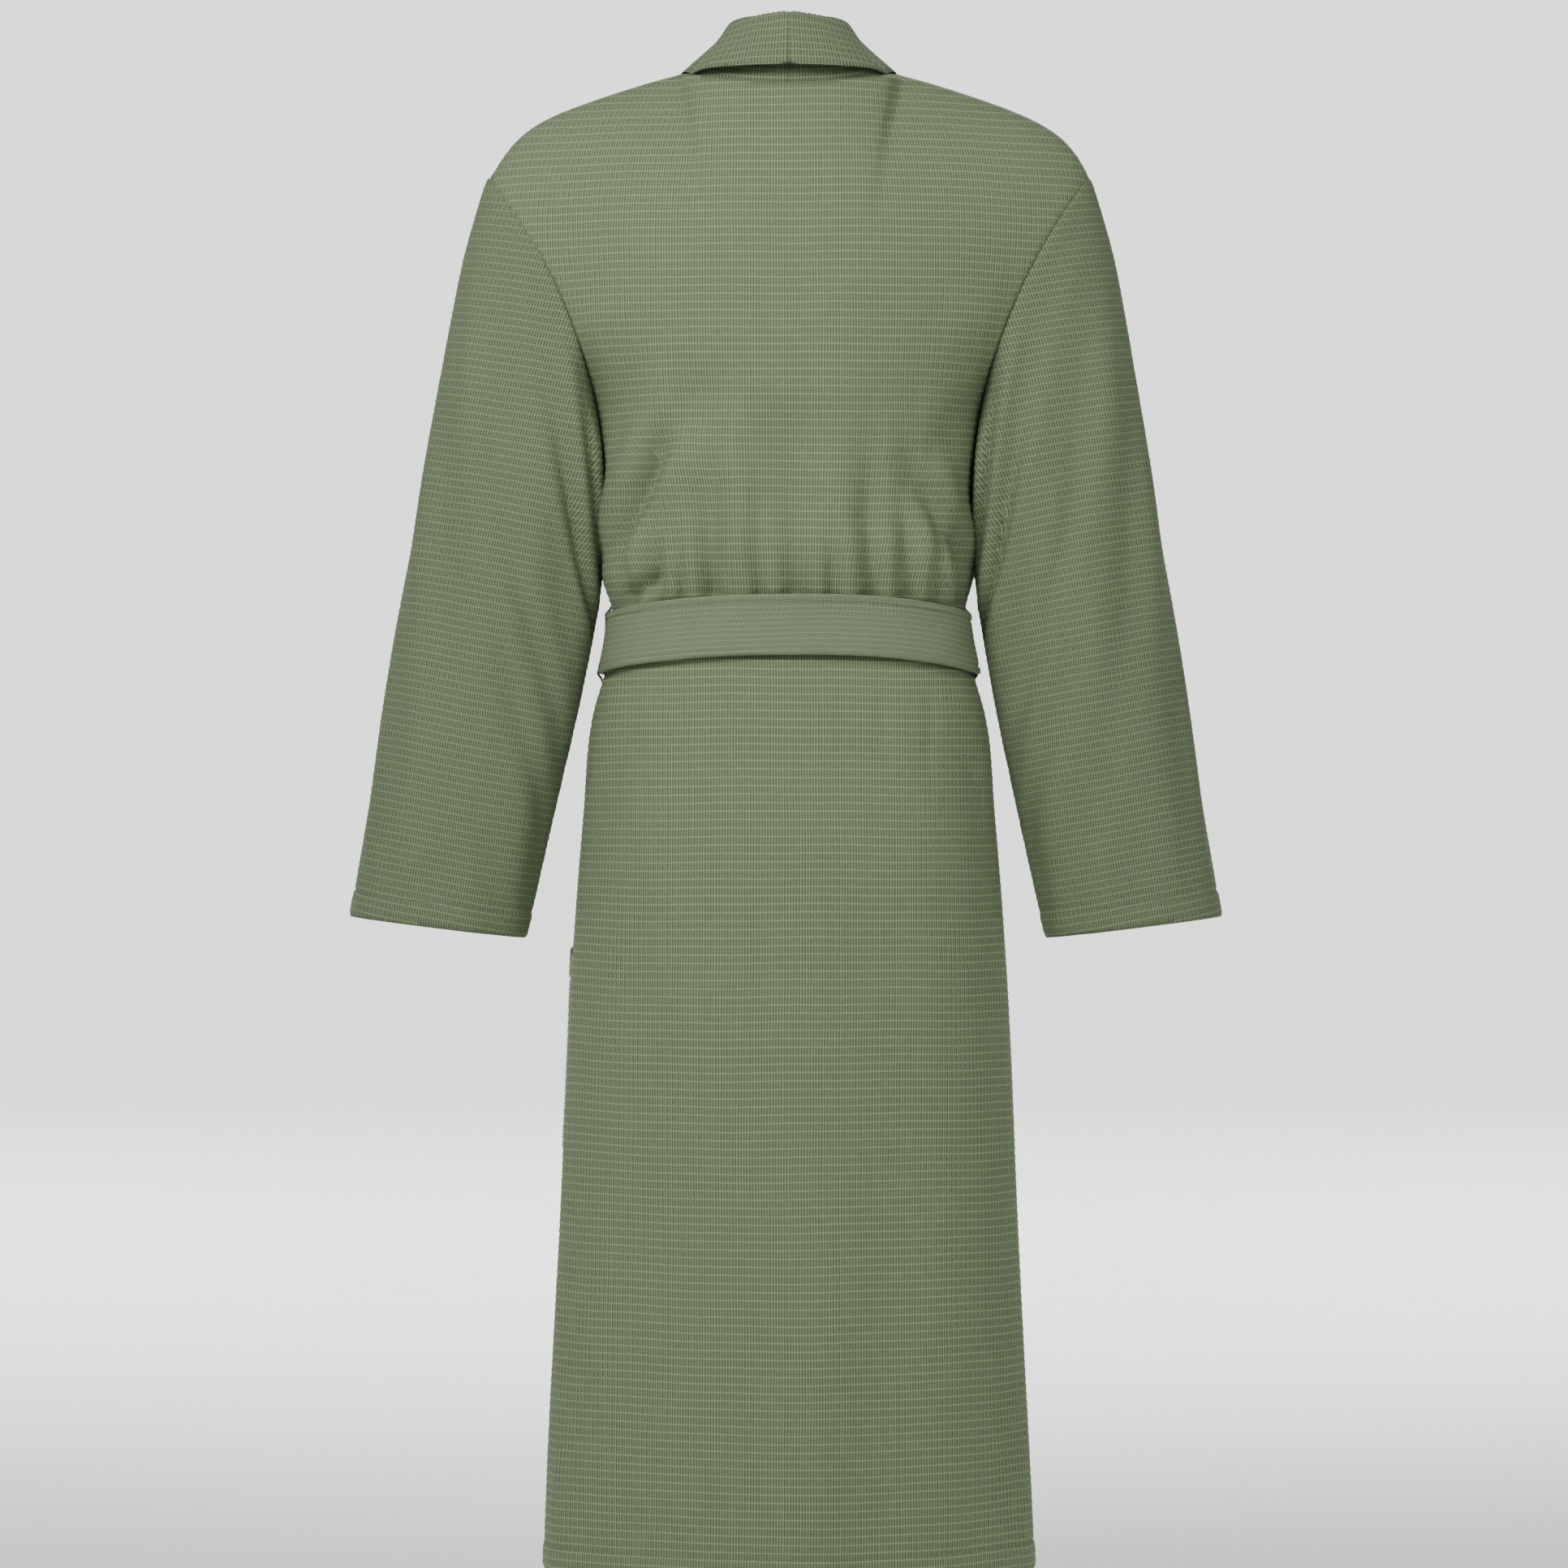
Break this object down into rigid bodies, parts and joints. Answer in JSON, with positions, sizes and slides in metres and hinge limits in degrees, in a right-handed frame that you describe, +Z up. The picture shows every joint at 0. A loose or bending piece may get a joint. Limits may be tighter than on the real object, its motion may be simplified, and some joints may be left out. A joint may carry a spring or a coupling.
{
  "type": "bathrobe",
  "caption": "Knee-length waffle-weave bathrobe with a shawl collar, long straight sleeves, patch pockets and a tie belt knotted in front.",
  "frame": {"origin": "on the shoulder line, in the middle of the neck opening, where the wearer's shoulders hold the robe up", "axes": "+Z up, +Y towards the wearer's back, +X towards the wearer's left"},
  "size_m": [0.7112, 0.289, 1.2495],
  "materials": {
    "waffle_cotton": "matt sage green cotton in a waffle weave of small oblong cells",
    "belt_cotton": "the same cotton folded double, flatter, with a stitched edge",
    "cotton_tape": "narrow woven twill tape",
    "label_cloth": "blank satin label, off-white"
  },
  "bodies": {
    "robe_body": {"back_panel": "waffle_cotton", "left_front_panel": "waffle_cotton", "right_front_panel": "waffle_cotton", "left_collar": "waffle_cotton", "right_collar": "waffle_cotton", "left_pocket": "waffle_cotton", "right_pocket": "waffle_cotton", "left_belt_loop": "waffle_cotton", "right_belt_loop": "waffle_cotton", "belt_band": "belt_cotton", "belt_knot": "belt_cotton", "neck_label": "label_cloth", "care_label": "label_cloth"},
    "left_sleeve": {"left_sleeve": "waffle_cotton"},
    "right_sleeve": {"right_sleeve": "waffle_cotton"},
    "belt_left_tail": {"belt_left_tail": "belt_cotton"},
    "belt_right_tail": {"belt_right_tail": "belt_cotton"},
    "hanger_loop": {"hanger_loop": "cotton_tape"}
  },
  "joints": [
    {"name": "left_sleeve_swing", "type": "hinge", "parent": "robe_body", "child": "left_sleeve", "pos_m": [0.242, 0, -0.081], "axis": [0, -1, 0], "range_deg": [0, 40]},
    {"name": "right_sleeve_swing", "type": "hinge", "parent": "robe_body", "child": "right_sleeve", "pos_m": [-0.242, 0, -0.081], "axis": [0, 1, 0], "range_deg": [0, 40]},
    {"name": "belt_left_tail_swing", "type": "hinge", "parent": "robe_body", "child": "belt_left_tail", "pos_m": [0.013, -0.1267, -0.4876], "axis": [-1, 0, 0], "range_deg": [0, 70]},
    {"name": "belt_right_tail_swing", "type": "hinge", "parent": "robe_body", "child": "belt_right_tail", "pos_m": [-0.013, -0.1267, -0.4876], "axis": [-1, 0, 0], "range_deg": [0, 70]},
    {"name": "hanger_loop_flip", "type": "hinge", "parent": "robe_body", "child": "hanger_loop", "pos_m": [0, 0.0577, -0.0174], "axis": [-1, 0, 0], "range_deg": [0, 135]}
  ]
}
